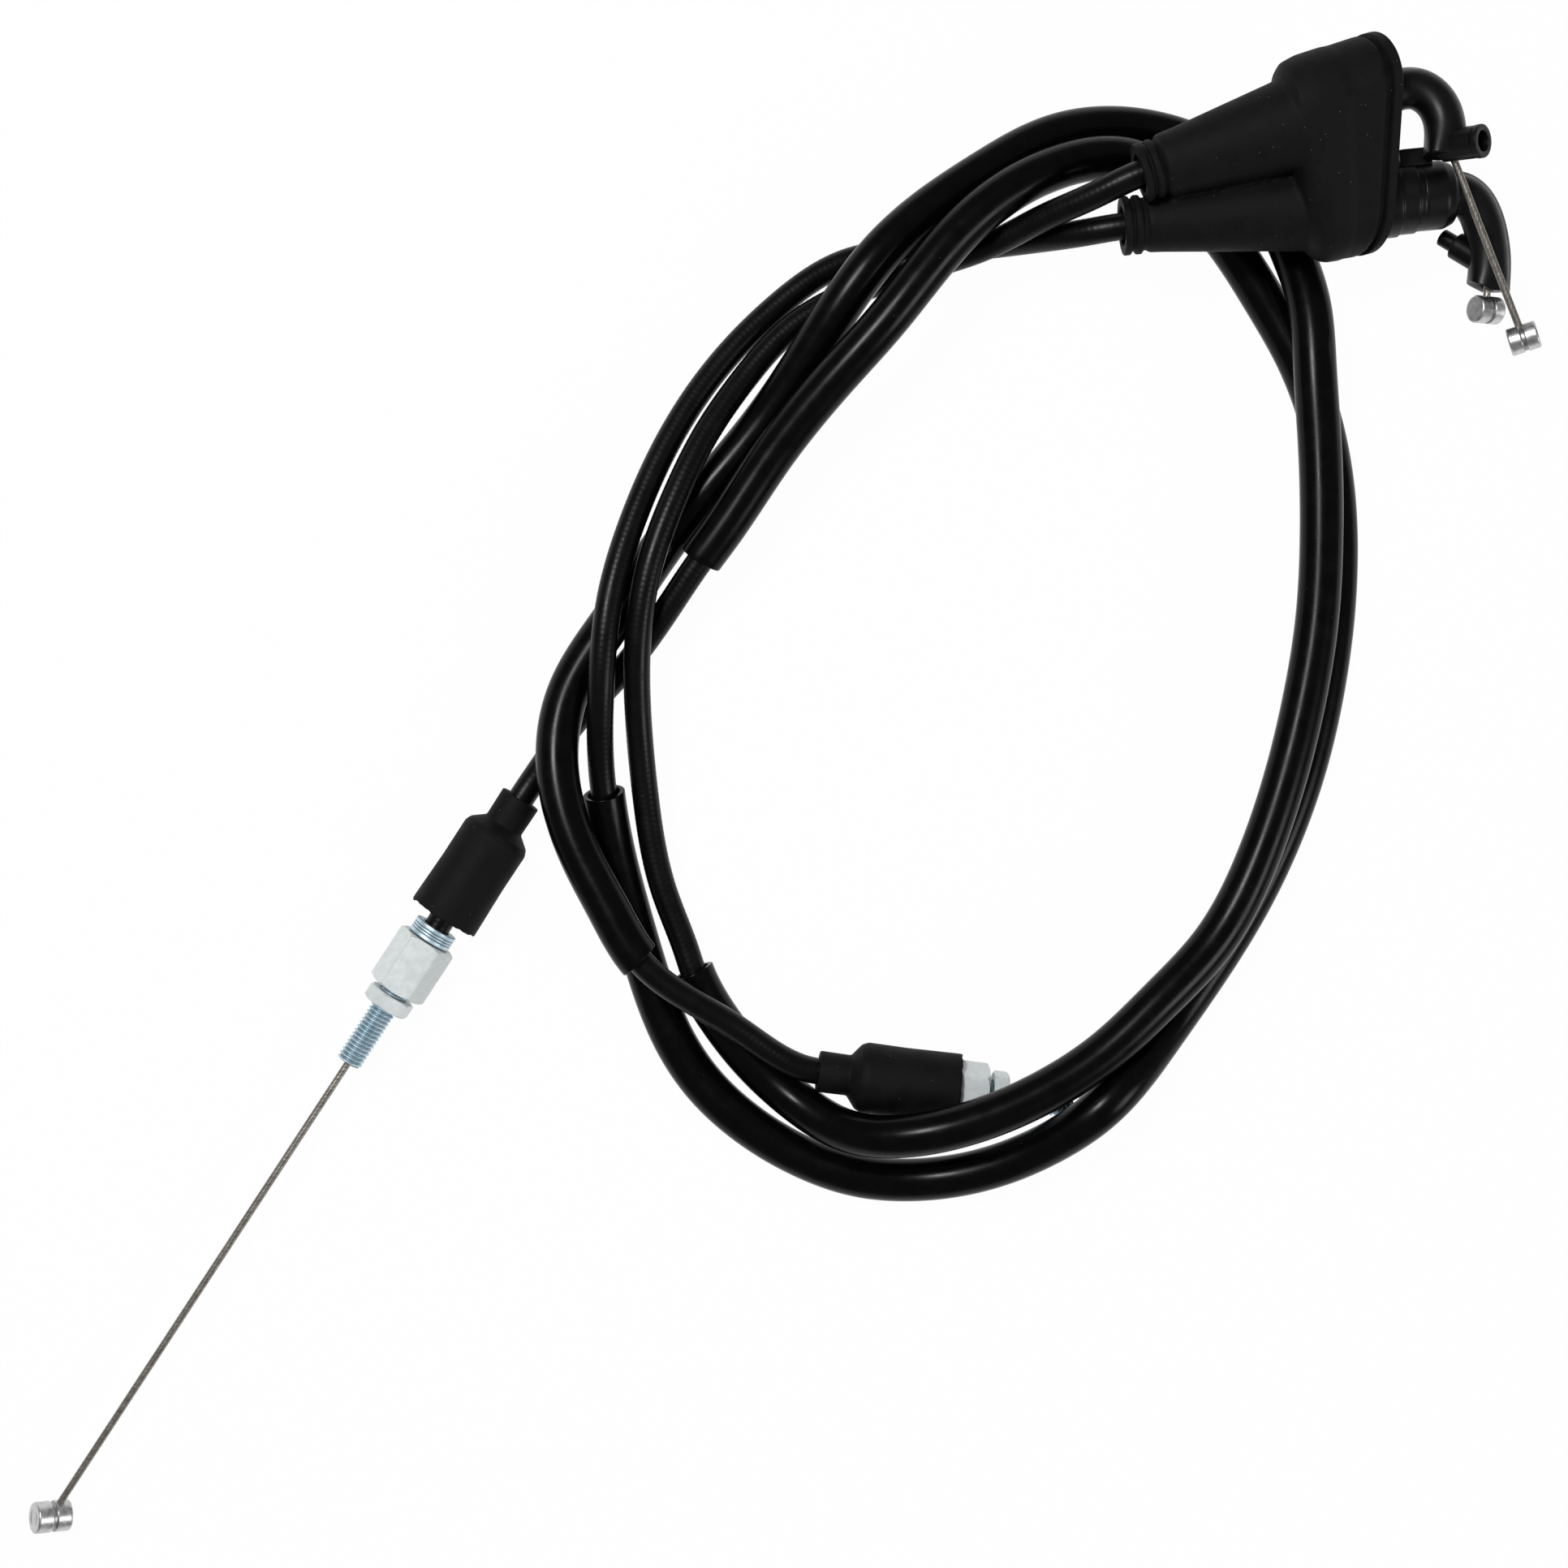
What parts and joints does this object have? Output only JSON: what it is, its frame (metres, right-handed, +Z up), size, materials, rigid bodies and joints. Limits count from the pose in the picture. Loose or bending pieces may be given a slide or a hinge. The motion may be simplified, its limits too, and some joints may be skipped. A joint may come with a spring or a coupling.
{
  "type": "dual throttle cable set",
  "caption": "Coiled pair of push-pull throttle cables with a shared rubber boot and bent guides at the grip end, and threaded adjusters under rubber bells at the carburettor end.",
  "frame": {"origin": "middle of the coil's box in plan, on the floor that it lies on", "axes": "+Z up from the floor; +X to the boot's mouth side, and +Y from the long bare wire's side to the boot's side"},
  "size_m": [0.335, 0.3302, 0.0461],
  "materials": {
    "boot_rubber": "matte moulded black rubber",
    "conduit_cover": "satin black conduit cover with the winding just showing through",
    "hose": "smooth glossy black slip-over hose",
    "guide_plastic": "satin black moulded plastic",
    "wire_steel": "bare stranded steel wire",
    "zinc_steel": "bluish zinc plate with a frosty bloom",
    "nipple_metal": "bright cast end barrels"
  },
  "bodies": {
    "cables": {"throttle_boot": "boot_rubber", "lower_elbow_barrel": "guide_plastic", "upper_sheath": "conduit_cover", "upper_sleeve": "hose", "upper_core_wire": "wire_steel", "upper_conduit_ferrule": "zinc_steel", "upper_end_ferrule": "zinc_steel", "upper_threaded_stud": "zinc_steel", "lower_sheath": "conduit_cover", "lower_sleeve": "hose", "lower_core_wire": "wire_steel", "lower_conduit_ferrule": "zinc_steel", "lower_end_ferrule": "zinc_steel", "lower_threaded_stud": "zinc_steel"},
    "upper_elbow_body": {"upper_elbow": "guide_plastic"},
    "upper_throttle_end": {"upper_throttle_wire": "wire_steel", "upper_throttle_nipple": "nipple_metal"},
    "upper_carb_end": {"upper_carb_wire": "wire_steel", "upper_carb_nipple": "nipple_metal"},
    "upper_adjuster": {"upper_adjuster_hex": "zinc_steel"},
    "upper_nut": {"upper_lock_nut": "zinc_steel"},
    "upper_bell": {"upper_carb_boot": "boot_rubber"},
    "lower_elbow_body": {"lower_elbow": "guide_plastic"},
    "lower_throttle_end": {"lower_throttle_wire": "wire_steel", "lower_throttle_nipple": "nipple_metal"},
    "lower_carb_end": {"lower_carb_wire": "wire_steel", "lower_carb_nipple": "nipple_metal"},
    "lower_adjuster": {"lower_adjuster_hex": "zinc_steel"},
    "lower_nut": {"lower_lock_nut": "zinc_steel"},
    "lower_bell": {"lower_carb_boot": "boot_rubber"}
  },
  "joints": [
    {"name": "upper_elbow_swivel", "type": "hinge", "parent": "cables", "child": "upper_elbow_body", "pos_m": [0.1346, 0.1528, 0.0345], "axis": [-0.9529, -0.3027, -0.0179], "range_deg": [0, 60]},
    {"name": "upper_throttle_pull", "type": "slide", "parent": "upper_elbow_body", "child": "upper_throttle_end", "axis": [0.3962, -0.91, -0.1225], "range_m": [-0.028, 0], "deforming": ["upper_throttle_wire"]},
    {"name": "upper_carb_pull", "type": "slide", "parent": "cables", "child": "upper_carb_end", "axis": [0.9885, -0.139, -0.06], "range_m": [0, 0.028]},
    {"name": "upper_adjuster_turn", "type": "hinge", "parent": "cables", "child": "upper_adjuster", "pos_m": [0.0102, -0.0607, 0.0103], "axis": [0.9885, -0.139, -0.06], "continuous": true},
    {"name": "upper_nut_turn", "type": "hinge", "parent": "cables", "child": "upper_nut", "pos_m": [0.0102, -0.0607, 0.0103], "axis": [0.9885, -0.139, -0.06], "continuous": true},
    {"name": "upper_bell_slide", "type": "slide", "parent": "cables", "child": "upper_bell", "axis": [0.9885, -0.139, -0.06], "range_m": [0, 0.004]},
    {"name": "lower_elbow_swivel", "type": "hinge", "parent": "cables", "child": "lower_elbow_body", "pos_m": [0.1491, 0.1328, 0.025], "axis": [0.9951, 0.0989, -0.0071], "range_deg": [0, 12]},
    {"name": "lower_throttle_pull", "type": "slide", "parent": "lower_elbow_body", "child": "lower_throttle_end", "axis": [-0.0248, -0.992, -0.124], "range_m": [0, 0.028], "deforming": ["lower_throttle_wire"]},
    {"name": "lower_carb_pull", "type": "slide", "parent": "cables", "child": "lower_carb_end", "axis": [-0.5488, -0.8357, -0.018], "range_m": [-0.028, 0]},
    {"name": "lower_adjuster_turn", "type": "hinge", "parent": "cables", "child": "lower_adjuster", "pos_m": [-0.0565, 0.0004, 0.0092], "axis": [-0.5488, -0.8357, -0.018], "continuous": true},
    {"name": "lower_nut_turn", "type": "hinge", "parent": "cables", "child": "lower_nut", "pos_m": [-0.0565, 0.0004, 0.0092], "axis": [-0.5488, -0.8357, -0.018], "continuous": true},
    {"name": "lower_bell_slide", "type": "slide", "parent": "cables", "child": "lower_bell", "axis": [-0.5488, -0.8357, -0.018], "range_m": [0, 0.024]}
  ],
  "couplings": [
    {"joint": "upper_carb_pull", "follows": "upper_throttle_pull", "ratio": -1},
    {"joint": "lower_carb_pull", "follows": "lower_throttle_pull", "ratio": -1}
  ]
}
